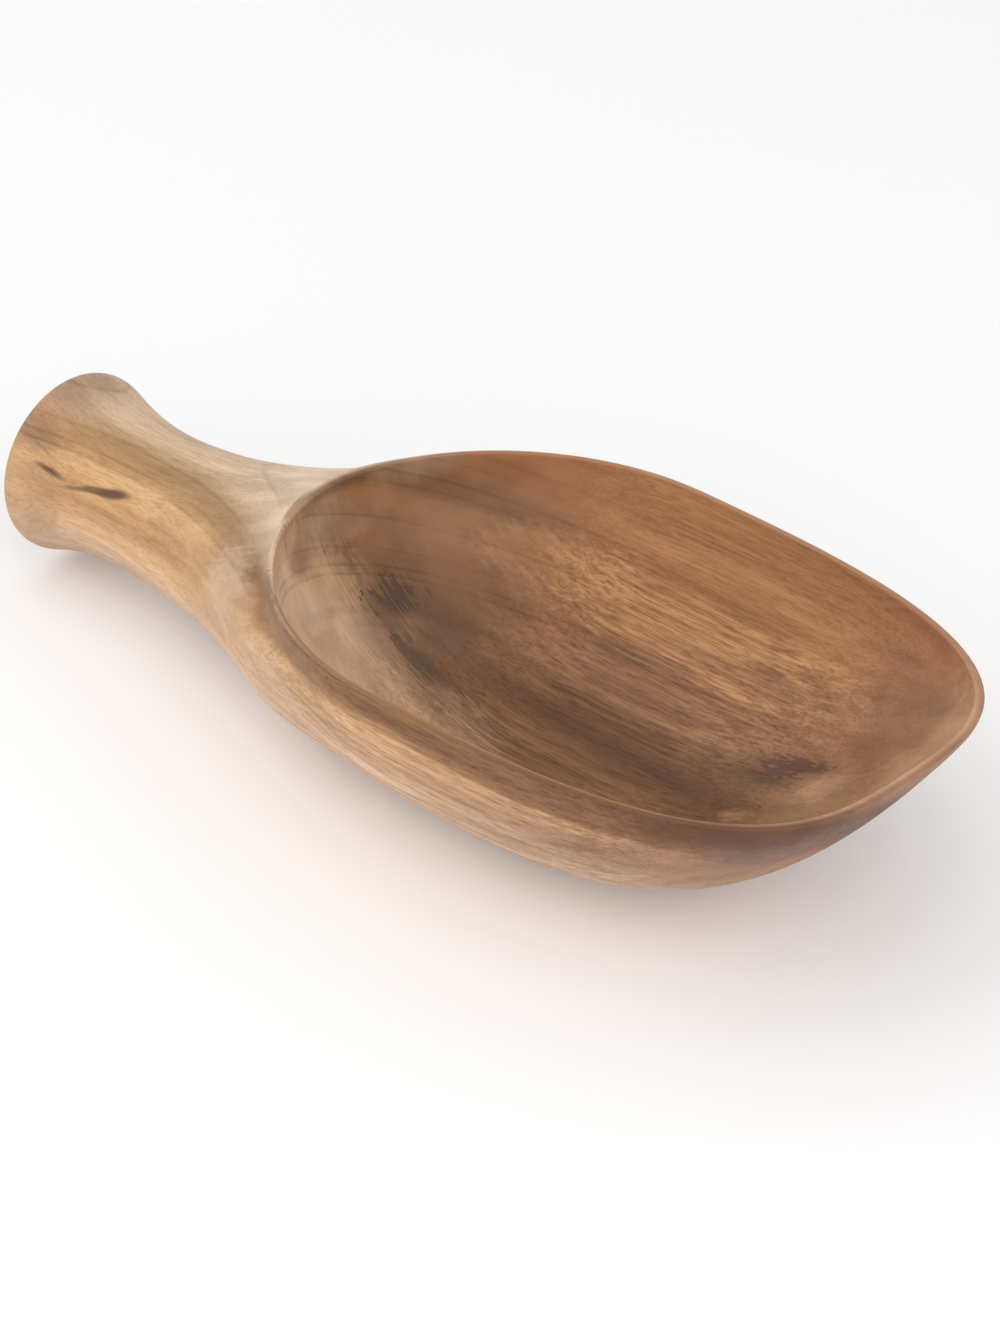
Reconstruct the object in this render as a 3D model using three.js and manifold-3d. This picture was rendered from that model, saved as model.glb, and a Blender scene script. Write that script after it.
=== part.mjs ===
import * as THREE from "three";
import { mergeVertices } from "three/addons/utils/BufferGeometryUtils.js";
import Module from "manifold-3d";

// A hand scoop carved from one block of hardwood: a round grip that swells at its end, and a deep
// oval bowl with a thin rim and a blunt pouring lip. Millimetres, +X towards the lip, +Z up.
// While it is shaped, X = 0 is the back of the bowl's opening and Z = 0 is the table it rests on.

// Opening of the bowl, at the rim
const openingLength = 184;
const openingWidth = 119;
const widestFromBack = 68.5; // where the opening is widest, from its back
const backRoundness = 1.89; // 2 is an ellipse, and more is squarer
const frontRoundness = 3.05;

// Bowl
const rimHeight = 58.3; // the rim lies level at this height
const rimWidth = 1.6; // wood between the opening and the outside, at the rim's sides and back
const lipWidth = 2.6; // the same at the pouring lip
const rimRounding = 0.5; // broken edge on both sides of the rim
const floorThickness = 13;
const sideFullness = 1.9; // cross-section of the bowl: 2 is an ellipse
const keelReach = 2.9; // how far forward the underside stays low before it rises to the lip
const keelSteepness = 1.08; // how steeply it then meets the lip
const footPlaned = 2.3; // depth planed off the underside, which makes the flat foot

// Grip
const gripLength = 98; // from its end to the back of the opening
const gripEndRadius = 26.7; // its underside touches the table at the end
const gripEndRounding = 6;
const neckFromOpening = 65; // where the grip is thinnest
const neckHalfWidth = 20.3;
const neckHalfHeight = 18.3;
const cheekSpread = 13.1; // half width gained between the neck and the opening
const cheekSoftness = 0.19; // how gently that begins, as a share of the way
const throatSpread = 8; // half height gained over the same way
const throatRise = 4.4; // how far the middle of the grip rises over the same way
const gripBuried = 10; // how far the grip's form runs on past the back of the opening
const rimBlend = 6.3; // width of the hollow fillet between grip and bowl, level with the rim
const cheekBlend = 42; // the same lower down, where the grip's cheeks run into the bowl's sides
const cheekBlendDrop = 15.8; // how far under the rim it reaches that width

// Fineness of the carved surface
const pointsRound = 64;
const gripRings = 9;
const endRings = 4;
const bowlRings = 24;
const hollowRings = 11;
const searchSteps = 40;
const scanStep = 0.5;
const fanCrowding = 1.5; // over 1 crowds the fanned rings towards the rim
const hingePlace = 0.45; // where the rings start to fan, as a share of the way back to the neck
const cutOvershoot = 5; // how far cutting bodies stand clear of what they cut
const samePoint = 1e-4; // points nearer than this are one point

const gripAxisHeight = gripEndRadius;
const gripEnd = -gripLength;
const neck = -neckFromOpening;
const frontLength = openingLength - widestFromBack;
const farOutside = 2 * (gripLength + openingLength);
const hollow = {
  halfWidth: openingWidth / 2,
  backReach: widestFromBack,
  frontReach: frontLength,
  depth: rimHeight - floorThickness,
};
const shell = {
  halfWidth: hollow.halfWidth + rimWidth,
  backReach: hollow.backReach + rimWidth,
  frontReach: hollow.frontReach + lipWidth,
  depth: rimHeight + footPlaned,
};

// Middle height, half width and half height of the grip at a station along it
function gripSection(x) {
  const swell = (neck - x) / (neck - gripEnd);
  if (swell > 0) {
    const share = swell ** 2;
    return {
      middle: gripAxisHeight,
      halfWidth: neckHalfWidth + (gripEndRadius - neckHalfWidth) * share,
      halfHeight: neckHalfHeight + (gripEndRadius - neckHalfHeight) * share,
    };
  }
  const way = 1 - x / neck;
  return {
    middle: gripAxisHeight + throatRise * way ** 2,
    halfWidth: neckHalfWidth + cheekSpread * (Math.hypot(way, cheekSoftness) - cheekSoftness),
    halfHeight: neckHalfHeight + throatSpread * way ** 2,
  };
}

// Distance-like value of a bowl shape, below zero inside it. The back half is a rounded end, and
// the front half a set of sections that narrow and rise to the lip.
function bowlValue(x, y, drop, shape) {
  const { halfWidth, backReach, frontReach, depth } = shape;
  const along = x - widestFromBack;
  if (along <= 0) {
    const plan = (-along / backReach) ** backRoundness + Math.abs(y / halfWidth) ** backRoundness;
    const whole = plan ** (sideFullness / backRoundness) + Math.abs(drop / depth) ** sideFullness;
    return (whole ** (1 / sideFullness) - 1) * Math.min(halfWidth, depth);
  }
  const share = along / frontReach;
  if (share >= 1) {
    return along;
  }
  const width = halfWidth * (1 - share ** frontRoundness) ** (1 / frontRoundness);
  const keel = depth * (1 - share ** keelReach) ** (1 / keelSteepness);
  const section = Math.abs(y / width) ** sideFullness + Math.abs(drop / keel) ** sideFullness;
  return (section ** (1 / sideFullness) - 1) * Math.min(width, keel);
}

// The same for the grip, with its end edge rounded and its other end buried in the bowl
function gripValue(x, y, z) {
  const { middle, halfWidth, halfHeight } = gripSection(THREE.MathUtils.clamp(x, gripEnd, gripBuried));
  const buried = Math.max(x - gripBuried, 0) / halfHeight;
  const size = Math.hypot(y / halfWidth, (z - middle) / halfHeight, buried);
  const sideIn = (size - 1) * Math.min(halfWidth, halfHeight) + gripEndRounding;
  const endIn = gripEnd - x + gripEndRounding;
  const corner = Math.hypot(Math.max(sideIn, 0), Math.max(endIn, 0));
  return Math.min(Math.max(sideIn, endIn), 0) + corner - gripEndRounding;
}

// The outside of the whole scoop: grip and bowl joined by a hollow fillet
function outsideValue(x, y, z) {
  const bowl = bowlValue(x, y, rimHeight - z, shell);
  const grip = gripValue(x, y, z);
  const down = THREE.MathUtils.clamp((rimHeight - z) / cheekBlendDrop, 0, 1);
  const blend = THREE.MathUtils.lerp(rimBlend, cheekBlend, down);
  const overlap = Math.max(blend - Math.abs(bowl - grip), 0) / blend;
  return Math.min(bowl, grip) - (overlap * overlap * blend) / 4;
}

// The space carved out of the bowl
function hollowValue(x, y, z) {
  return bowlValue(x, y, rimHeight - z, hollow);
}

// The surface point met when going from a point inside along a direction, or a point short of it
function surfacePoint(value, inside, direction, short = 0) {
  let near = 0;
  let far = farOutside;
  const point = new THREE.Vector3();
  for (let step = 0; step < searchSteps; step += 1) {
    const middle = (near + far) / 2;
    point.copy(inside).addScaledVector(direction, middle);
    if (value(point.x, point.y, point.z) < 0) {
      near = middle;
    } else {
      far = middle;
    }
  }
  return point.copy(inside).addScaledVector(direction, near - short);
}

// One ring of surface points round an inside point, in the plane of the Y axis and a second axis
function ringRound(value, inside, axis, reachAlong, reachAcross, short = 0) {
  const ring = [];
  for (let i = 0; i < pointsRound; i += 1) {
    const angle = (2 * Math.PI * i) / pointsRound;
    const direction = axis.clone().multiplyScalar(reachAlong * Math.cos(angle));
    direction.y += reachAcross * Math.sin(angle);
    ring.push(surfacePoint(value, inside, direction.normalize(), short));
  }
  return ring;
}

// A closed mesh through a list of rings, with a centre point at either end
function skinOf(start, rings, end) {
  const points = [start, ...rings.flat(), end];
  const faces = [];
  const last = points.length - 1;
  for (let i = 0; i < pointsRound; i += 1) {
    const next = (i + 1) % pointsRound;
    faces.push(0, 1 + i, 1 + next);
    for (let r = 0; r < rings.length - 1; r += 1) {
      const here = 1 + r * pointsRound;
      const beyond = here + pointsRound;
      faces.push(here + i, beyond + next, here + next);
      faces.push(here + i, beyond + i, beyond + next);
    }
    const lastRing = last - pointsRound;
    faces.push(last, lastRing + next, lastRing + i);
  }
  const geometry = new THREE.BufferGeometry().setFromPoints(points);
  geometry.setIndex(faces);
  return geometry;
}

// Rings along the grip, square to it, from its end face to the hinge of the fanned rings
function gripRingsUpTo(hingeX) {
  const stations = [];
  for (let i = 0; i <= endRings; i += 1) {
    const turn = (Math.PI / 2) * (i / endRings);
    stations.push(gripEnd + gripEndRounding * (1 - Math.cos(turn)));
  }
  const start = gripEnd + gripEndRounding;
  for (let i = 1; i <= gripRings; i += 1) {
    stations.push(start + ((hingeX - start) * i) / gripRings);
  }
  const up = new THREE.Vector3(0, 0, 1);
  return stations.map((x) => {
    const inside = new THREE.Vector3(x + samePoint, 0, gripAxisHeight);
    return ringRound(outsideValue, inside, up, 1, 1);
  });
}

// The middle of the section in a fanned plane, with its half length and half width
function sectionExtent(value, hinge, outward) {
  let first = null;
  let last = 0;
  for (let along = 0; along < farOutside; along += scanStep) {
    const point = hinge.clone().addScaledVector(outward, along);
    if (value(point.x, point.y, point.z) < 0) {
      first = first ?? along;
      last = along;
    }
  }
  const middle = hinge.clone().addScaledVector(outward, (first + last) / 2);
  const side = surfacePoint(value, middle, new THREE.Vector3(0, 1, 0));
  return { middle, halfLength: (last - first) / 2, halfWidth: side.y };
}

// A level ring round the bowl, measured at one height and set at another, short of the surface by
// a distance or, where that is below zero, past it
function levelRing(value, measuredAt, setAt, short) {
  const middle = new THREE.Vector3(widestFromBack, 0, measuredAt);
  const back = new THREE.Vector3(-1, 0, 0);
  const ring = ringRound(value, middle, back, openingLength / 2, openingWidth / 2, short);
  return ring.map((point) => point.setZ(setAt));
}

// Rings round the bowl, in planes that fan out from a hinge line above the neck, from upright
// there to nearly flat, and then two level rings on either side of the rim's broken outer edge
function fannedRings(hingeX) {
  const rings = [];
  const edgeHeight = rimHeight - rimRounding;
  for (let i = 1; i < bowlRings; i += 1) {
    const turn = (Math.PI / 2) * (1 - (1 - i / bowlRings) ** fanCrowding);
    const hinge = new THREE.Vector3(hingeX, 0, edgeHeight);
    const outward = new THREE.Vector3(Math.sin(turn), 0, -Math.cos(turn));
    const { middle, halfLength, halfWidth } = sectionExtent(outsideValue, hinge, outward);
    rings.push(ringRound(outsideValue, middle, outward.negate(), halfLength, halfWidth));
  }
  rings.push(levelRing(outsideValue, edgeHeight, edgeHeight, 0));
  rings.push(levelRing(outsideValue, rimHeight, rimHeight, rimRounding));
  return rings;
}

// The outside of the scoop as one closed body, flat across the top of the bowl
function carveOutside() {
  const hingeX = neck * hingePlace;
  const rings = [...gripRingsUpTo(hingeX), ...fannedRings(hingeX)];
  const endCentre = new THREE.Vector3(gripEnd, 0, gripAxisHeight);
  const topCentre = new THREE.Vector3(widestFromBack, 0, rimHeight);
  return skinOf(endCentre, rings, topCentre);
}

// The wood taken out of the bowl, standing clear above the rim, with the rim's inner edge broken
function carveHollow() {
  const rings = [];
  for (let i = 1; i <= hollowRings; i += 1) {
    const turn = (Math.PI / 2) * (i / hollowRings);
    const height = rimHeight - rimRounding - (hollow.depth - rimRounding) * Math.cos(turn);
    rings.push(levelRing(hollowValue, height, height, 0));
  }
  rings.push(levelRing(hollowValue, rimHeight, rimHeight, -rimRounding));
  rings.push(levelRing(hollowValue, rimHeight, rimHeight + cutOvershoot, -rimRounding));
  const floorPoint = new THREE.Vector3(widestFromBack, 0, floorThickness);
  const topPoint = new THREE.Vector3(widestFromBack, 0, rimHeight + cutOvershoot);
  return skinOf(floorPoint, rings, topPoint);
}

// A slab under the table height, which planes the foot flat
function footPlane() {
  const length = 2 * (gripLength + openingLength);
  const slab = new THREE.BoxGeometry(length, 2 * openingWidth, cutOvershoot);
  return slab.translate(0, 0, -cutOvershoot / 2);
}

// Booleans work on closed bodies whose shared points are one point
function bodyOf(geometry) {
  geometry.deleteAttribute("normal");
  geometry.deleteAttribute("uv");
  const merged = mergeVertices(geometry, samePoint);
  const mesh = new wasm.Mesh({
    numProp: 3,
    vertProperties: merged.attributes.position.array,
    triVerts: new Uint32Array(merged.index.array),
  });
  return new wasm.Manifold(mesh);
}

function geometryOf(body) {
  const { vertProperties, triVerts } = body.getMesh();
  const geometry = new THREE.BufferGeometry();
  geometry.setAttribute("position", new THREE.BufferAttribute(vertProperties, 3));
  geometry.setIndex(new THREE.BufferAttribute(triVerts, 1));
  geometry.computeVertexNormals();
  return geometry;
}

const wasm = await Module();
wasm.setup();

// Oiled acacia: warm mid brown with a satin surface
const acacia = new THREE.MeshStandardMaterial({
  color: 0xa87850,
  roughness: 0.5,
  metalness: 0,
});

const carved = bodyOf(carveOutside()).subtract(bodyOf(carveHollow())).subtract(bodyOf(footPlane()));
const scoop = new THREE.Mesh(geometryOf(carved), acacia);
scoop.name = "scoop";

// The frame's origin is under the middle of the scoop's length
const lipEnd = openingLength + lipWidth;
scoop.position.x = -(lipEnd + gripEnd) / 2;

const part = new THREE.Group();
part.add(scoop);

export default part;
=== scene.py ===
import math

import bmesh
import bpy
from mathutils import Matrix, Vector


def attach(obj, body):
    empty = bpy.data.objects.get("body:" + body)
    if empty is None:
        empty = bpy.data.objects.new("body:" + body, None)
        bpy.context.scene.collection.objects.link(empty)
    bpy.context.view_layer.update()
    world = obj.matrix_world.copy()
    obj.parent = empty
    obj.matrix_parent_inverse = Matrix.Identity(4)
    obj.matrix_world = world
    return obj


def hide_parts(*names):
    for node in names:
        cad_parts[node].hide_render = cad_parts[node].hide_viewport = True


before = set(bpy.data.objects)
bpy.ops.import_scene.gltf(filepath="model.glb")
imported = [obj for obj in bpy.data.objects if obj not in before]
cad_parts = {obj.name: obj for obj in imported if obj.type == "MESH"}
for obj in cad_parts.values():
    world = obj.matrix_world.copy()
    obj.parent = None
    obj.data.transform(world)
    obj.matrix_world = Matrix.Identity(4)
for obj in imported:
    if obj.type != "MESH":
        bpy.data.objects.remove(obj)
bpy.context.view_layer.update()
mm = 0.001

# The carved form, in millimetres. While it is shaped, x = 0 is the back of the bowl's opening
# and z = 0 is the table.
bowl = {
    "openingLength": 184,
    "openingWidth": 119,
    "widestFromBack": 68.5,
    "backRoundness": 1.89,  # 2 is an ellipse, more is squarer
    "frontRoundness": 3.05,
    "rimHeight": 58.3,
    "rimWidth": 1.6,
    "lipWidth": 2.6,
    "rimRounding": 0.5,
    "floorThickness": 13,
    "sideFullness": 1.9,
    "keelReach": 2.9,
    "keelSteepness": 1.08,
    "footPlaned": 2.3,
}
grip = {
    "length": 98,
    "endRadius": 26.7,
    "endRounding": 6,
    "neckFromOpening": 65,
    "neckHalfWidth": 20.3,
    "neckHalfHeight": 18.3,
    "cheekSpread": 13.1,
    "cheekSoftness": 0.19,
    "throatSpread": 8,
    "throatRise": 4.4,
    "buried": 10,
    "rimBlend": 6.3,
    "cheekBlend": 42,
    "cheekBlendDrop": 15.8,
}
mesh = {
    "pointsRound": 96,
    "endFaceRings": 3,
    "endRings": 5,
    "endOffset": 0.001,  # keeps the first of them just inside the end face
    "gripRings": 20,
    "hingePlace": 0.45,  # where the rings start to fan, as a share of the way back to the neck
    "bowlRings": 46,
    "fanCrowding": 1.5,
    "edgeRings": 3,
    "hollowRings": 32,
    "footInset": 0.8,
    "searchSteps": 34,
    "scanStep": 0.5,
    "orderAlong": (1, 0.0137, 0.000171),  # aslant, so that no two vertices lie level along it
}
gripEnd = -grip["length"]
neck = -grip["neckFromOpening"]
gripAxis = grip["endRadius"]
edgeHeight = bowl["rimHeight"] - bowl["rimRounding"]
farOutside = 2 * (grip["length"] + bowl["openingLength"])


def bowlShape(width, back, front, depth):
    reach = bowl["openingLength"] - bowl["widestFromBack"]
    return {
        "halfWidth": bowl["openingWidth"] / 2 + width,
        "back": bowl["widestFromBack"] + back,
        "front": reach + front,
        "depth": depth,
    }


hollow = bowlShape(0, 0, 0, bowl["rimHeight"] - bowl["floorThickness"])
shell = bowlShape(
    bowl["rimWidth"], bowl["rimWidth"], bowl["lipWidth"], bowl["rimHeight"] + bowl["footPlaned"],
)


def bowlValue(x, y, drop, shape):  # below zero inside the bowl's form
    along = x - bowl["widestFromBack"]
    full = bowl["sideFullness"]
    if along <= 0:
        power = bowl["backRoundness"]
        plan = (-along / shape["back"]) ** power + abs(y / shape["halfWidth"]) ** power
        whole = plan ** (full / power) + abs(drop / shape["depth"]) ** full
        return (whole ** (1 / full) - 1) * min(shape["halfWidth"], shape["depth"])
    share = along / shape["front"]
    if share >= 1:
        return along
    power = bowl["frontRoundness"]
    width = shape["halfWidth"] * (1 - share ** power) ** (1 / power)
    keel = shape["depth"] * (1 - share ** bowl["keelReach"]) ** (1 / bowl["keelSteepness"])
    section = abs(y / width) ** full + abs(drop / keel) ** full
    return (section ** (1 / full) - 1) * min(width, keel)


def gripSection(x):  # middle height, half width and half height
    swell = (neck - x) / (neck - gripEnd)
    if swell > 0:
        width = grip["neckHalfWidth"] + (grip["endRadius"] - grip["neckHalfWidth"]) * swell ** 2
        height = grip["neckHalfHeight"] + (grip["endRadius"] - grip["neckHalfHeight"]) * swell ** 2
        return gripAxis, width, height
    way = 1 - x / neck
    spread = math.hypot(way, grip["cheekSoftness"]) - grip["cheekSoftness"]
    return (
        gripAxis + grip["throatRise"] * way ** 2,
        grip["neckHalfWidth"] + grip["cheekSpread"] * spread,
        grip["neckHalfHeight"] + grip["throatSpread"] * way ** 2,
    )


def gripValue(x, y, z):
    rounding = grip["endRounding"]
    middle, halfWidth, halfHeight = gripSection(min(max(x, gripEnd), grip["buried"]))
    past = max(x - grip["buried"], 0) / halfHeight
    size = math.hypot(y / halfWidth, (z - middle) / halfHeight, past)
    side = (size - 1) * min(halfWidth, halfHeight) + rounding
    end = gripEnd - x + rounding
    return min(max(side, end), 0) + math.hypot(max(side, 0), max(end, 0)) - rounding


def outsideValue(x, y, z):  # grip and bowl joined by a hollow fillet that widens below the rim
    inBowl = bowlValue(x, y, bowl["rimHeight"] - z, shell)
    inGrip = gripValue(x, y, z)
    down = min(max((bowl["rimHeight"] - z) / grip["cheekBlendDrop"], 0), 1)
    blend = grip["rimBlend"] + (grip["cheekBlend"] - grip["rimBlend"]) * down
    overlap = max(blend - abs(inBowl - inGrip), 0) / blend
    return min(inBowl, inGrip) - overlap ** 2 * blend / 4


def hollowValue(x, y, z):
    return bowlValue(x, y, bowl["rimHeight"] - z, hollow)


def surfacePoint(value, inside, direction, short=0):
    near, far = 0, farOutside
    for _ in range(mesh["searchSteps"]):
        middle = (near + far) / 2
        if value(*(inside + direction * middle)) < 0:
            near = middle
        else:
            far = middle
    return inside + direction * (near - short)


def ringRound(value, inside, axis, reachAlong, reachAcross, short=0):
    ring = []
    for i in range(mesh["pointsRound"]):
        turn = 2 * math.pi * i / mesh["pointsRound"]
        direction = axis * (reachAlong * math.cos(turn)) + Vector((0, reachAcross * math.sin(turn), 0))
        ring.append(surfacePoint(value, inside, direction.normalized(), short))
    return ring


def endFaceValue(x, y, z):
    return math.hypot(y, z - gripAxis) - (grip["endRadius"] - grip["endRounding"])


def gripRings(hingeX):
    up = Vector((0, 0, 1))
    rings = []
    disc = ringRound(endFaceValue, Vector((0, 0, gripAxis)), up, 1, 1)
    for i in range(1, mesh["endFaceRings"]):
        share = i / mesh["endFaceRings"]
        rings.append([Vector((gripEnd, p.y * share, gripAxis + (p.z - gripAxis) * share)) for p in disc])
    stations = []
    for i in range(mesh["endRings"] + 1):
        turn = math.pi / 2 * i / mesh["endRings"]
        stations.append(gripEnd + grip["endRounding"] * (1 - math.cos(turn)) + mesh["endOffset"])
    start = gripEnd + grip["endRounding"]
    for i in range(1, mesh["gripRings"] + 1):
        stations.append(start + (hingeX - start) * i / mesh["gripRings"])
    for x in stations:
        rings.append(ringRound(outsideValue, Vector((x, 0, gripAxis)), up, 1, 1))
    return rings


def sectionExtent(hinge, outward):  # the middle of a fanned section, its half length and width
    inside = []
    along = 0
    while along < farOutside:
        if outsideValue(*(hinge + outward * along)) < 0:
            inside.append(along)
        along += mesh["scanStep"]
    middle = hinge + outward * (inside[0] + inside[-1]) / 2
    side = surfacePoint(outsideValue, middle, Vector((0, 1, 0)))
    return middle, (inside[-1] - inside[0]) / 2, side.y


def levelRing(value, measuredAt, setAt, short):
    middle = Vector((bowl["widestFromBack"], 0, measuredAt))
    reach = bowl["openingLength"] / 2, bowl["openingWidth"] / 2
    ring = ringRound(value, middle, Vector((-1, 0, 0)), *reach, short)
    return [Vector((p.x, p.y, setAt)) for p in ring]


def bowlRings(hingeX):  # up the outside, over the rim and down the hollow
    rings = []
    hinge = Vector((hingeX, 0, edgeHeight))
    for i in range(1, mesh["bowlRings"]):
        turn = math.pi / 2 * (1 - (1 - i / mesh["bowlRings"]) ** mesh["fanCrowding"])
        outward = Vector((math.sin(turn), 0, -math.cos(turn)))
        middle, halfLength, halfWidth = sectionExtent(hinge, outward)
        rings.append(ringRound(outsideValue, middle, -outward, halfLength, halfWidth))
    rounding = bowl["rimRounding"]
    steps = [math.pi / 2 * i / mesh["edgeRings"] for i in range(mesh["edgeRings"] + 1)]
    for turn in steps:
        height = edgeHeight + rounding * math.sin(turn)
        rings.append(levelRing(outsideValue, edgeHeight, height, rounding * (1 - math.cos(turn))))
    for turn in reversed(steps):
        height = edgeHeight + rounding * math.sin(turn)
        rings.append(levelRing(hollowValue, edgeHeight, height, -rounding * (1 - math.cos(turn))))
    for i in range(1, mesh["hollowRings"]):
        turn = math.pi / 2 * i / mesh["hollowRings"]
        height = edgeHeight - (hollow["depth"] - rounding) * math.sin(turn)
        rings.append(levelRing(hollowValue, height, height, 0))
    return rings


def ringEdges(verts):  # each edge once, in the order of the ring
    ring = set(verts)
    return list(dict.fromkeys(e for v in verts for e in v.link_edges if e.other_vert(v) in ring))


def growRing(bm, ring, points):  # extrudes a ring of vertices and sets the new ones on their points
    grown = set(bmesh.ops.extrude_edge_only(bm, edges=ringEdges(ring))["geom"])
    following = []
    for vert, point in zip(ring, points):
        new = next(e.other_vert(vert) for e in vert.link_edges if e.other_vert(vert) in grown)
        new.co = point
        following.append(new)
    return following


def planeFoot(bm):
    everything = list(bm.verts) + list(bm.edges) + list(bm.faces)
    cut = bmesh.ops.bisect_plane(
        bm, geom=everything, plane_co=(0, 0, 0), plane_no=(0, 0, -1), clear_outer=True,
    )
    outline = [e for e in cut["geom_cut"] if isinstance(e, bmesh.types.BMEdge)]
    foot = bmesh.ops.edgeloop_fill(bm, edges=outline)["faces"]
    bmesh.ops.inset_region(bm, faces=foot, thickness=mesh["footInset"])
    bmesh.ops.poke(bm, faces=foot)


def putInOrder(bm):  # the operators leave the parts of the mesh in another order on each run
    bm.verts.sort(key=lambda vert: vert.co.dot(Vector(mesh["orderAlong"])))
    bm.verts.index_update()
    for parts in (bm.edges, bm.faces):
        parts.sort(key=lambda part: sum(vert.index ** 3 for vert in part.verts))
        parts.index_update()


def carveScoop():
    bm = bmesh.new()
    hollowed = bm.verts.layers.float.new("hollowed")  # 1 on the bowl's inner surface, for the material
    hingeX = neck * mesh["hingePlace"]
    rings = gripRings(hingeX) + bowlRings(hingeX)
    innerFrom = len(rings) - mesh["hollowRings"] - mesh["edgeRings"]
    first = bmesh.ops.create_circle(bm, segments=mesh["pointsRound"], radius=1)["verts"]
    for vert, point in zip(first, rings[0]):
        vert.co = point
    last = first
    for i, points in enumerate(rings[1:], 1):
        last = growRing(bm, last, points)
        for vert in last:
            vert[hollowed] = float(i >= innerFrom)
    endMiddle = Vector((gripEnd, 0, gripAxis))
    floorMiddle = Vector((bowl["widestFromBack"], 0, bowl["floorThickness"]))
    for ring, pole in ((first, endMiddle), (last, floorMiddle)):
        bmesh.ops.pointmerge(bm, verts=growRing(bm, ring, [pole] * len(ring)), merge_co=pole)
    planeFoot(bm)
    middle = (bowl["openingLength"] + bowl["lipWidth"] + gripEnd) / 2
    bmesh.ops.translate(bm, vec=(-middle, 0, 0), verts=bm.verts)
    bmesh.ops.scale(bm, vec=(mm, mm, mm), verts=bm.verts)
    bmesh.ops.recalc_face_normals(bm, faces=bm.faces)
    putInOrder(bm)
    return bm


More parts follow.
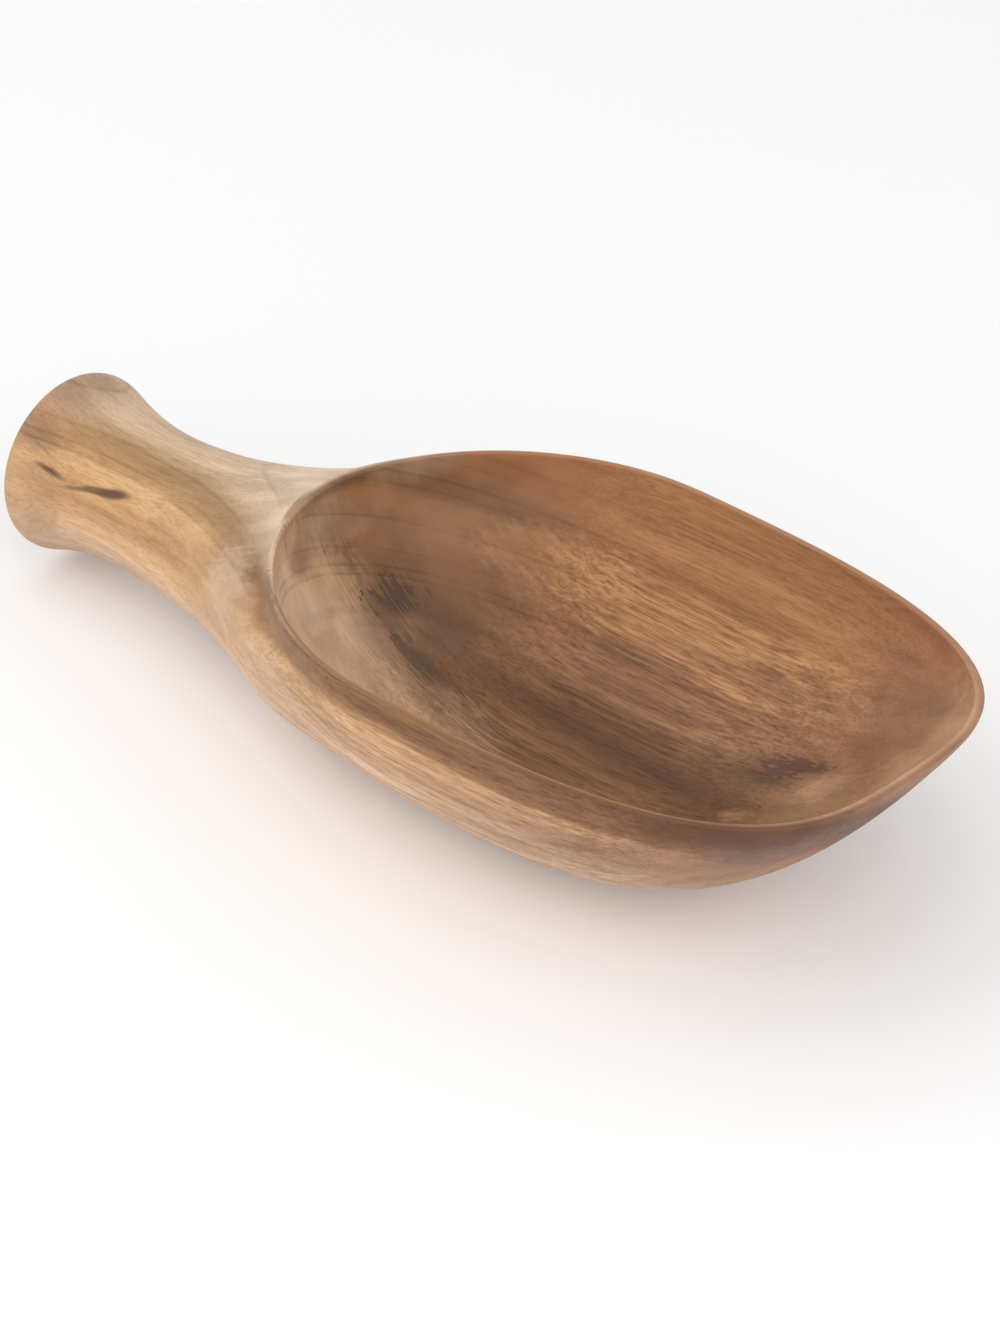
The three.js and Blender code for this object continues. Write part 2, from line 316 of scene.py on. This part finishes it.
# The figure of the wood, with painted sheen in some of its outside tones. Lengths in millimetres in the
# part's frame, colours linear.
wood = {
    # the growth layers lie like shells: how they fall away to one side, and how that steepens
    "layerSlope": 0.391,
    "layerBend": 0.00177,
    "waves": (0, 2, 2),  # how far slow waves shift them
    "waveNoise": ((0.012, 0.035, 0.035), 2.0, 0.55),
    # tones of the layers by their height, and the stretch of x in which one set gives way to the next
    # on the outside, the palest layers low down on the grip, cheek and lip, and along the top of the grip
    # and throat, are partly pale sapwood and partly painted sheen: the whitish haze of the satin finish
    # where the surface turns away along the outline
    "gripTonesAndSheen": [
        (6, (0.60, 0.415, 0.295)), (14, (0.64, 0.435, 0.285)), (18, (0.66, 0.425, 0.25)),
        (22, (0.60, 0.365, 0.185)), (26, (0.52, 0.305, 0.14)), (30, (0.55, 0.325, 0.15)),
        (36, (0.60, 0.375, 0.18)), (37.5, (0.46, 0.27, 0.12)), (40, (0.38, 0.22, 0.10)),
        (43, (0.40, 0.24, 0.115)), (46, (0.60, 0.42, 0.265)), (50, (0.66, 0.49, 0.345)),
        (56, (0.68, 0.52, 0.40)),
    ],
    "gripToCheek": (-72, -40),
    # painted sheen with pale sapwood in the palest layers, low down and along the top of the throat
    "cheekTonesAndSheen": [
        (4, (0.61, 0.42, 0.295)), (12, (0.65, 0.445, 0.30)), (18, (0.64, 0.41, 0.25)),
        (24, (0.56, 0.335, 0.18)), (30, (0.59, 0.36, 0.185)), (32.5, (0.44, 0.235, 0.10)),
        (35, (0.27, 0.131, 0.050)), (41, (0.25, 0.120, 0.047)), (44, (0.48, 0.33, 0.21)),
        (50, (0.69, 0.52, 0.375)), (58, (0.68, 0.51, 0.37)), (66, (0.56, 0.38, 0.24)),
        (84, (0.42, 0.24, 0.13)),
    ],
    "cheekToLip": (0, 110),
    # painted sheen with pale sapwood in the palest layer, low down
    "lipTonesAndSheen": [
        (4, (0.56, 0.375, 0.275)), (14, (0.44, 0.285, 0.19)), (22, (0.34, 0.19, 0.115)),
        (27, (0.32, 0.17, 0.098)), (31, (0.31, 0.155, 0.078)), (34, (0.20, 0.092, 0.041)),
        (41, (0.15, 0.063, 0.027)), (47, (0.15, 0.063, 0.027)), (54, (0.30, 0.15, 0.08)),
        (84, (0.38, 0.19, 0.10)),
    ],
    "innerTones": [
        (12, (0.215, 0.107, 0.050)), (18, (0.165, 0.075, 0.031)), (22, (0.185, 0.085, 0.036)),
        (30, (0.27, 0.131, 0.064)), (37, (0.29, 0.138, 0.062)), (38.4, (0.25, 0.116, 0.048)),
        (42, (0.33, 0.158, 0.068)), (46, (0.39, 0.20, 0.094)), (50, (0.355, 0.172, 0.074)),
        (51.5, (0.33, 0.158, 0.066)), (58, (0.40, 0.195, 0.084)), (61.5, (0.35, 0.160, 0.062)),
        (63.5, (0.35, 0.160, 0.062)), (67, (0.40, 0.188, 0.080)), (84, (0.41, 0.208, 0.102)),
    ],
    "innerToBack": (8, -18),
    "backTones": [
        (16, (0.15, 0.072, 0.034)), (32, (0.17, 0.082, 0.036)), (42, (0.21, 0.095, 0.039)),
        (48, (0.25, 0.119, 0.050)), (58, (0.29, 0.137, 0.058)), (61.5, (0.215, 0.099, 0.042)),
        (64.5, (0.215, 0.099, 0.042)), (68, (0.28, 0.129, 0.057)), (74, (0.33, 0.146, 0.068)),
        (84, (0.36, 0.172, 0.080)),
    ],
    "innerToLip": (80, 106),
    "innerLipTones": [
        (22, (0.26, 0.135, 0.072)), (33, (0.33, 0.182, 0.100)), (39, (0.305, 0.158, 0.082)),
        (45, (0.27, 0.125, 0.056)), (51, (0.31, 0.155, 0.080)), (57, (0.275, 0.132, 0.058)),
        (68, (0.28, 0.130, 0.056)), (80, (0.37, 0.172, 0.092)),
    ],
    # lines between growth layers: height, half width, strength
    "lines": [
        (36.8, 0.5, 0.5), (38.9, 0.6, 0.5), (43, 0.6, 0.3),
        (50.8, 0.6, 0.45), (60.5, 0.6, 0.35), (64, 0.8, 0.45),
    ],
    "lineTone": (0.55, 0.46, 0.38, 1),
    "linesFade": (55, -10),  # toward the lip
    "linesOutside": (-46, -64, 0.3),  # and on the outside, where only the grip shows them in full
    "lineBreaks": (0.35, 0.6, 0.4),
    # faint rings between them: how close they lie, detail, the range that shows, strength
    "ringScale": 0.26,
    "ringDetail": 2.0,
    "ringRange": (0.45, 0.7),
    "ringStrength": 0.2,
    # noises that give the fibres: scale along x, y and z, detail, roughness
    "noises": {
        "bands": ((0.01, 0.12, 0.12), 1.0, 0.55),
        "streaks": ((0.025, 0.5, 0.5), 3.0, 0.6),
        "longLines": ((0.012, 1.1, 1.1), 2.0, 0.55),
        "pores": ((0.16, 2.2, 2.2), 2.0, 0.6),
        "knotFibres": ((0.035, 1.4, 0.07), 2.0, 0.5),
    },
    # the range of each that shows, and what its palest and darkest multiply the tone by
    "grain": {
        "bands": ((0.3, 0.7), (1.16, 1.145, 1.12, 1), (0.93, 0.895, 0.85, 1)),
        "streaks": ((0.3, 0.7), (1.17, 1.18, 1.19, 1), (0.80, 0.765, 0.73, 1)),
        "longLines": ((0.42, 0.6), (1.10, 1.10, 1.09, 1), (0.87, 0.84, 0.81, 1)),
        "pores": ((0.47, 0.64), (1.07, 1.07, 1.07, 1), (0.70, 0.64, 0.58, 1)),
    },
    # where the fibres fade: from, to, and the share that is left
    "calmEndGrain": (0.1, 0.7, 0.06),  # the x of the surface's normal, so where it cuts across them
    "calmGrip": (20, -40, 0.5),
    "calmRim": (57.2, 58.0, 0.2),
    "calmLayers": (54, 66, 0.55),
    "calmLip": (60, 105, 0.3),  # the long lines only
    # the marks below break up along the fibres, but like a knot's short ones on the back wall
    "knotToFloor": (-6, 4),
    "raggedness": 3.0,
    "markEdge": (1.0, 0.35),  # where a mark begins and where it is full, as shares of its reach
    "bumpStrength": 0.25,
    "bumpDepth": 0.15,
    "roughness": (0.42, 0.55),
    "specular": 0.36,
}

# Soft spots that the layers don't explain, a few of them painted light or shade as noted: place, reach,
# colour, strength, raggedness and, where it runs aslant, how far it leans along y and z for each
# millimetre of x
innerMarksAndPaintedLight = [
    ((-27, -31, 36), (50, 37, 38), (0.64, 0.435, 0.29), 0.97, 0.1),  # pale back wall: partly pale sapwood, partly painted light on the inner back wall, which faces the light
    ((-46, -8, 50), (8, 17, 18), (0.44, 0.305, 0.20), 0.7, 0.1),
    ((-38, 24, 57), (18, 18, 6), (0.36, 0.235, 0.15), 0.6, 0.1),
    # paler still: pale sapwood with painted light high on the back wall
    ((-30, -37, 50), (20, 18, 14), (0.76, 0.55, 0.39), 0.7, 0.1),
    ((6, -18, 20), (36, 16, 15), (0.50, 0.32, 0.195), 0.85, 0.15),
    ((4, -7, 16), (26, 9, 8), (0.30, 0.178, 0.108), 0.7, 0.3),
    ((30, -40, 36), (50, 14, 16), (0.34, 0.185, 0.095), 0.6, 0.2),
    ((-35, -10, 40), (7, 11, 12), (0.50, 0.33, 0.165), 0.6, 0.15),
    ((-41, 3, 47), (7, 12, 5), (0.33, 0.20, 0.12), 0.5, 0.2),
    # painted shade: a dark shadow line along the inside of the back rim
    ((-47, 4, 58), (8, 20, 3.5), (0.17, 0.094, 0.050), 0.8, 0.15),
    ((-38, -19, 47), (7, 8, 6), (0.31, 0.18, 0.105), 0.7, 0.3),
    ((-21, -1, 27), (12, 11, 11), (0.27, 0.16, 0.095), 0.6, 0.3),
    ((-27, 4, 31), (8, 9, 7), (0.15, 0.086, 0.046), 0.7, 0.3),
    ((-27.5, 4.5, 30.5), (6.5, 7, 6), (0.085, 0.042, 0.020), 0.92, 1.0),  # dark fibres of a knot
    ((-24, 0, 27), (7, 4, 5), (0.17, 0.095, 0.050), 0.7, 0.4),
    ((-12.5, -2.8, 22.5), (12, 4, 7), (0.20, 0.12, 0.072), 0.6, 0.3),
    ((-13.5, -1.5, 22), (10, 4, 6), (0.10, 0.055, 0.030), 0.88, 1.1),
    # paler still: pale sapwood with painted light low on the back wall
    ((-28, -24, 38), (8, 9, 7), (0.76, 0.55, 0.40), 0.6, 0.15),
    ((-13, 6, 23), (11, 5, 7), (0.16, 0.092, 0.053), 0.6, 0.9),
    ((26, 10.5, 13.5), (50, 5, 9), (0.12, 0.052, 0.018), 0.8, 0.7),  # dark floor
    ((60, 7.5, 15), (40, 5, 9), (0.105, 0.046, 0.018), 0.75, 0.8),
    ((24, 33.5, 23), (14, 3, 5), (0.15, 0.066, 0.024), 0.7, 0.6),
    ((24, 43, 30), (62, 10, 11), (0.46, 0.242, 0.10), 0.6, 0.5),  # golden streaks of the far wall
    ((40, 37, 25), (40, 4, 5), (0.47, 0.25, 0.11), 0.5, 0.5),
    ((-12, 38, 36), (24, 14, 7), (0.43, 0.215, 0.088), 0.55, 0.3),
    ((72, 27, 21), (22, 8, 8), (0.29, 0.155, 0.068), 0.5, 0.8),
    ((82, 17, 22), (19, 6, 7), (0.13, 0.078, 0.032), 0.75, 0.6),
    ((89, 22.8, 25), (22, 4, 6.5), (0.12, 0.044, 0.030), 0.95, 0.7),  # purple heart streak
    ((83, 19.5, 22.5), (11, 3.5, 4), (0.105, 0.048, 0.032), 0.8, 1.3),
    ((80, 4.5, 19), (17, 3.6, 6), (0.11, 0.050, 0.022), 0.75, 0.8),
    ((104, 15, 28.5), (11, 8, 8), (0.44, 0.26, 0.14), 0.8, 0.25),
    ((88, 1.5, 21), (7, 4, 5), (0.38, 0.22, 0.12), 0.7, 0.25),
    ((104, 29, 36), (11, 6, 8), (0.22, 0.090, 0.034), 0.6, 0.6),
    ((140, 8, 52), (38, 60, 30), (0.46, 0.26, 0.145), 0.8, 0.15),  # pale pouring lip
    ((136, 14, 55), (26, 50, 12), (0.54, 0.33, 0.20), 0.5, 0.1),
    ((116, 36, 44), (15, 12, 10), (0.26, 0.13, 0.064), 0.6, 0.3),
]
outerMarksAndPaintedShade = [
    ((-22, -50, 38), (26, 9, 11), (0.60, 0.41, 0.26), 0.8, 0.15),  # pale cheek
    ((-46, -30, 41), (18, 16, 14), (0.66, 0.47, 0.32), 0.7, 0.1),
    ((-36, -41, 45), (13, 12, 8), (0.60, 0.39, 0.25), 0.5, 0.05),
    ((-26, -45, 56), (24, 13, 5), (0.21, 0.115, 0.056), 0.8, 0.3),  # dark edge under the rim
    ((-18, -48, 51), (14, 8, 6), (0.28, 0.15, 0.065), 0.7, 0.5),
    # painted shade on the rim's land at the back, darkening where the light catches it
    ((-43, -13, 58.5), (6, 12, 2), (0.27, 0.165, 0.095), 0.8, 0.1),
    ((50, -57, 46), (60, 12, 3.2), (0.58, 0.37, 0.20), 0.5, 0.5),  # bands of the near side
    ((30, -62, 55), (50, 6, 2.6), (0.19, 0.088, 0.036), 0.7, 0.8),
    ((84, -58, 53), (46, 8, 4), (0.22, 0.098, 0.045), 0.6, 0.6),
    ((127, -35, 47), (17, 22, 9), (0.185, 0.108, 0.078), 0.75, 0.3),  # below the lip
    ((127, -38, 55), (36, 30, 6), (0.115, 0.050, 0.026), 0.9, 0.3),
    ((107, -50, 45), (20, 14, 6), (0.39, 0.225, 0.14), 0.45, 0.3),
    ((100, -50, 39), (30, 14, 4.5), (0.26, 0.14, 0.082), 0.5, 0.3),
    ((-134, 0, 53), (26, 20, 9), (0.42, 0.285, 0.195), 0.9, 0.15),  # browner end of the grip
    ((-143, 0, 27), (21, 40, 40), (0.42, 0.265, 0.155), 0.75, 0.1),
    ((-129, -21, 28), (9, 8, 15), (0.46, 0.285, 0.16), 0.65, 0.2),
    ((-136, -12, 47), (10, 10, 8), (0.44, 0.25, 0.14), 0.6, 0.4),
    ((-134, -17, 43.5), (12, 5, 4), (0.30, 0.17, 0.09), 0.6, 0.6),
    ((-127.5, -19.8, 37), (9, 3.2, 1.2), (0.13, 0.058, 0.028), 0.95, 0.25, -0.12, -0.2),  # the two checks
    ((-112, -17.6, 36.4), (15, 3.6, 1.1), (0.16, 0.075, 0.038), 0.9, 0.3, 0.16, 0.186),
    ((-106.5, -16.7, 37.3), (6.5, 3, 1.6), (0.11, 0.048, 0.024), 0.92, 0.3, 0.16, 0.186),
]


def addNode(tree, kind, values=(), **settings):
    made = tree.nodes.new(kind)
    for name, value in settings.items():
        setattr(made, name, value)
    for slot, value in dict(values).items():
        if isinstance(value, bpy.types.NodeSocket):
            tree.links.new(value, made.inputs[slot])
        else:
            made.inputs[slot].default_value = value
    return made


def compute(tree, operation, *inputs):
    return addNode(tree, "ShaderNodeMath", enumerate(inputs), operation=operation).outputs[0]


def product(tree, first, *others):
    for other in others:
        first = compute(tree, "MULTIPLY", first, other)
    return first


def vectorMath(tree, operation, *inputs):
    return addNode(tree, "ShaderNodeVectorMath", enumerate(inputs), operation=operation)


def remap(tree, value, low, high, toLow=0.0, toHigh=1.0, smooth=True):
    ranged = addNode(
        tree, "ShaderNodeMapRange", {0: value, 1: low, 2: high, 3: toLow, 4: toHigh},
        interpolation_type="SMOOTHSTEP" if smooth else "LINEAR",
    )
    return ranged.outputs[0]


def calm(tree, value, low, high, left):
    return remap(tree, value, low, high, 1.0, left)


def mixColour(tree, share, first, second, blend="MIX"):
    mixed = addNode(tree, "ShaderNodeMix", data_type="RGBA", blend_type=blend)
    for slot, value in ((0, share), (6, first), (7, second)):
        if isinstance(value, bpy.types.NodeSocket):
            tree.links.new(value, mixed.inputs[slot])
        else:
            mixed.inputs[slot].default_value = value
    return mixed.outputs[2]


def grainNoise(tree, point, scale, detail, roughness):
    scaled = vectorMath(tree, "MULTIPLY", point, scale).outputs[0]
    settings = {"Vector": scaled, "Scale": 1.0, "Detail": detail, "Roughness": roughness}
    return addNode(tree, "ShaderNodeTexNoise", settings).outputs


def waver(tree, point):  # slow waves bend the growth layers
    waves = grainNoise(tree, point, *wood["waveNoise"])["Color"]
    shift = vectorMath(tree, "SUBTRACT", waves, (0.5, 0.5, 0.5)).outputs[0]
    shift = vectorMath(tree, "MULTIPLY", shift, wood["waves"]).outputs[0]
    return vectorMath(tree, "ADD", point, shift).outputs[0]


def layerRamp(tree, height, tones):
    low, high = tones[0][0], tones[-1][0]
    share = remap(tree, height, low, high, smooth=False)
    ramp = addNode(tree, "ShaderNodeValToRGB", {0: share})
    stops = ramp.color_ramp.elements
    while len(stops) < len(tones):
        stops.new(0.5)
    for stop, (place, colour) in zip(stops, tones):
        stop.position = (place - low) / (high - low)
        stop.color = (*colour, 1)
    return ramp.outputs[0]


def softSpot(tree, point, ragged, colour, place, reach, tone, strength, raggedness, *lean):
    away = vectorMath(tree, "SUBTRACT", point, place).outputs[0]
    if lean:
        along = addNode(tree, "ShaderNodeSeparateXYZ", {0: away}).outputs[0]
        lift = addNode(tree, "ShaderNodeCombineXYZ", {
            1: compute(tree, "MULTIPLY", along, lean[0]),
            2: compute(tree, "MULTIPLY", along, lean[1]),
        }).outputs[0]
        away = vectorMath(tree, "SUBTRACT", away, lift).outputs[0]
    scaled = vectorMath(tree, "MULTIPLY", away, [1 / length for length in reach]).outputs[0]
    far = vectorMath(tree, "LENGTH", scaled).outputs["Value"]
    far = compute(tree, "MULTIPLY_ADD", ragged, raggedness, far)
    share = remap(tree, far, *wood["markEdge"], 0.0, strength)
    return mixColour(tree, share, colour, (*tone, 1))


def drawLines(tree, colour, x, height, inner, bands):
    fade = product(
        tree,
        remap(tree, x, *wood["linesFade"]),
        compute(tree, "MAXIMUM", inner, remap(tree, x, *wood["linesOutside"])),
        remap(tree, bands, *wood["lineBreaks"]),
    )
    for lineHeight, halfWidth, strength in wood["lines"]:
        off = compute(tree, "ABSOLUTE", compute(tree, "SUBTRACT", height, lineHeight))
        share = product(tree, remap(tree, off, halfWidth, 0.0, 0.0, strength), fade)
        colour = mixColour(tree, share, colour, wood["lineTone"], "MULTIPLY")
    settings = {"W": height, "Scale": wood["ringScale"], "Detail": wood["ringDetail"]}
    rings = addNode(tree, "ShaderNodeTexNoise", settings, noise_dimensions="1D").outputs["Fac"]
    share = product(tree, remap(tree, rings, *wood["ringRange"], 0.0, wood["ringStrength"]), fade)
    return mixColour(tree, share, colour, wood["lineTone"], "MULTIPLY")


def oiledAcacia():
    material = bpy.data.materials.new("oiledAcacia")
    material.use_nodes = True
    tree = material.node_tree
    shader = tree.nodes["Principled BSDF"]
    place = addNode(tree, "ShaderNodeTexCoord").outputs["Object"]
    inMm = vectorMath(tree, "SCALE", place)
    inMm.inputs["Scale"].default_value = 1 / mm
    point = inMm.outputs[0]
    inner = addNode(tree, "ShaderNodeAttribute", attribute_name="hollowed").outputs["Fac"]

    bent = waver(tree, point)
    x, y, z = addNode(tree, "ShaderNodeSeparateXYZ", {0: bent}).outputs
    fall = compute(tree, "MULTIPLY_ADD", product(tree, y, y), wood["layerBend"], z)
    height = compute(tree, "MULTIPLY_ADD", y, wood["layerSlope"], fall)
    noises = {name: grainNoise(tree, bent, *noise)["Fac"] for name, noise in wood["noises"].items()}

    def blendAlong(stretch, before, toneName):
        share = remap(tree, x, *wood[stretch])
        return mixColour(tree, share, before, layerRamp(tree, height, wood[toneName]))

    # the outside ramps carry painted sheen in their palest layers
    outside = blendAlong("gripToCheek", layerRamp(tree, height, wood["gripTonesAndSheen"]), "cheekTonesAndSheen")
    outside = blendAlong("cheekToLip", outside, "lipTonesAndSheen")
    inside = blendAlong("innerToBack", layerRamp(tree, height, wood["innerTones"]), "backTones")
    inside = blendAlong("innerToLip", inside, "innerLipTones")

    settings = {0: remap(tree, x, *wood["knotToFloor"]), 2: noises["knotFibres"], 3: noises["longLines"]}
    ragged = addNode(tree, "ShaderNodeMix", settings).outputs[0]
    ragged = compute(tree, "SUBTRACT", compute(tree, "ADD", noises["streaks"], ragged), 1.0)
    ragged = product(tree, ragged, wood["raggedness"])
    for mark in outerMarksAndPaintedShade:
        outside = softSpot(tree, point, ragged, outside, *mark)
    for mark in innerMarksAndPaintedLight:
        inside = softSpot(tree, point, ragged, inside, *mark)
    colour = mixColour(tree, inner, outside, inside)
    colour = drawLines(tree, colour, x, height, inner, noises["bands"])

    # fibres along the scoop, from broad bands to fine pores
    normal = addNode(tree, "ShaderNodeNewGeometry").outputs["Normal"]
    across = compute(tree, "ABSOLUTE", addNode(tree, "ShaderNodeSeparateXYZ", {0: normal}).outputs[0])
    shown = product(
        tree,
        calm(tree, across, *wood["calmEndGrain"]),
        calm(tree, x, *wood["calmGrip"]),
        calm(tree, z, *wood["calmRim"]),
        calm(tree, height, *wood["calmLayers"]),
    )
    longShown = product(tree, shown, inner, calm(tree, x, *wood["calmLip"]))
    shares = {"bands": 1.0, "streaks": shown, "longLines": longShown, "pores": shown}
    for name, (toneRange, pale, dark) in wood["grain"].items():
        tone = mixColour(tree, remap(tree, noises[name], *toneRange), pale, dark)
        colour = mixColour(tree, shares[name], colour, tone, "MULTIPLY")

    tree.links.new(colour, shader.inputs["Base Color"])
    streakRange = wood["grain"]["streaks"][0]
    roughness = remap(tree, noises["streaks"], *streakRange, *wood["roughness"])
    tree.links.new(roughness, shader.inputs["Roughness"])
    shader.inputs["Specular IOR Level"].default_value = wood["specular"]
    sunkPores = compute(tree, "MULTIPLY", noises["pores"], -1.0)
    settings = {"Strength": wood["bumpStrength"], "Distance": wood["bumpDepth"] * mm, "Height": sunkPores}
    bump = addNode(tree, "ShaderNodeBump", settings)
    tree.links.new(bump.outputs[0], shader.inputs["Normal"])
    return material


print("carving the scoop")
scoopMesh = bpy.data.meshes.new("carvedScoop")
carved = carveScoop()
carved.to_mesh(scoopMesh)
carved.free()
scoopMesh.shade_smooth()
scoop = bpy.data.objects.new("carvedScoop", scoopMesh)
bpy.context.scene.collection.objects.link(scoop)
finer = scoop.modifiers.new("finer", "SUBSURF")
finer.levels = finer.render_levels = 1
print("oiling the wood")
scoopMesh.materials.append(oiledAcacia())
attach(scoop, "root")
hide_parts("scoop")

# In metres and watts
studio = {
    "floorHalf": 6.0,
    "floorGap": 0.0001,  # below the foot, so that the two don't share a plane
    "floorColour": (0.95, 0.95, 0.95, 1),
    "floorRoughness": 0.9,
    "floorLift": 0.07,  # what the camera sees above the lit floor, to bring it near white
    "skyStrength": 0.68,
    "seenStrength": 1.0,  # of the sky that the camera, gloss and glass see
    "lampSize": 1.8,
    "lamps": {  # place, power
        "leftLamp": ((-1.0, -0.6, 1.1), 6.0),
        "frontLamp": ((0.6, -1.2, 0.9), 6.0),
        "rightLamp": ((1.3, -0.5, 0.8), 8.5),
    },
    "aim": (0.02, 0, 0.03),
}


def addFloor():
    bm = bmesh.new()
    bmesh.ops.create_grid(bm, x_segments=1, y_segments=1, size=studio["floorHalf"])
    bmesh.ops.translate(bm, vec=(0, 0, -studio["floorGap"]), verts=bm.verts)
    floorMesh = bpy.data.meshes.new("paleFloor")
    bm.to_mesh(floorMesh)
    bm.free()
    floor = bpy.data.objects.new("paleFloor", floorMesh)
    bpy.context.scene.collection.objects.link(floor)
    material = bpy.data.materials.new("paleFloor")
    material.use_nodes = True
    tree = material.node_tree
    shader = tree.nodes["Principled BSDF"]
    shader.inputs["Base Color"].default_value = studio["floorColour"]
    shader.inputs["Roughness"].default_value = studio["floorRoughness"]
    shader.inputs["Emission Color"].default_value = (1, 1, 1, 1)
    seen = addNode(tree, "ShaderNodeLightPath").outputs["Is Camera Ray"]
    tree.links.new(product(tree, seen, studio["floorLift"]), shader.inputs["Emission Strength"])
    floorMesh.materials.append(material)


def addSky():
    world = bpy.data.worlds.new("softStudio")
    bpy.context.scene.world = world
    world.use_nodes = True
    tree = world.node_tree
    background = tree.nodes["Background"]
    background.inputs["Color"].default_value = (1, 1, 1, 1)
    path = addNode(tree, "ShaderNodeLightPath")
    seen = compute(tree, "MAXIMUM", path.outputs["Is Camera Ray"], path.outputs["Is Glossy Ray"])
    seen = compute(tree, "MAXIMUM", seen, path.outputs["Is Transmission Ray"])
    strength = remap(tree, seen, 0, 1, studio["skyStrength"], studio["seenStrength"], smooth=False)
    tree.links.new(strength, background.inputs["Strength"])


def addLamps():
    for name, (place, power) in studio["lamps"].items():
        lamp = bpy.data.lights.new(name, "AREA")
        lamp.size = studio["lampSize"]
        lamp.energy = power
        made = bpy.data.objects.new(name, lamp)
        bpy.context.scene.collection.objects.link(made)
        made.location = place
        made.rotation_euler = (Vector(studio["aim"]) - made.location).to_track_quat("-Z", "Y").to_euler()


# The photograph's camera: turned round the scoop and raised, in degrees, and its distance in metres
view = {
    "azimuth": 42.89,
    "elevation": 33.43,
    "distance": 1.21309,
    "target": (0.02054, -0.0081, 0.03742),
    "lens": 135,
    "sensorWidth": 36,
}


def addCamera():
    azimuth, elevation = math.radians(view["azimuth"]), math.radians(view["elevation"])
    back = Vector((
        math.cos(elevation) * math.sin(azimuth),
        -math.cos(elevation) * math.cos(azimuth),
        math.sin(elevation),
    ))
    camera = bpy.data.objects.new("camera", bpy.data.cameras.new("camera"))
    bpy.context.scene.collection.objects.link(camera)
    camera.data.lens = view["lens"]
    camera.data.sensor_width = view["sensorWidth"]
    camera.location = Vector(view["target"]) + back * view["distance"]
    camera.rotation_euler = (-back).to_track_quat("-Z", "Y").to_euler()
    bpy.context.scene.camera = camera


print("lighting the studio")
addFloor()
addSky()
addLamps()
addCamera()
bpy.context.scene.view_settings.view_transform = "Standard"
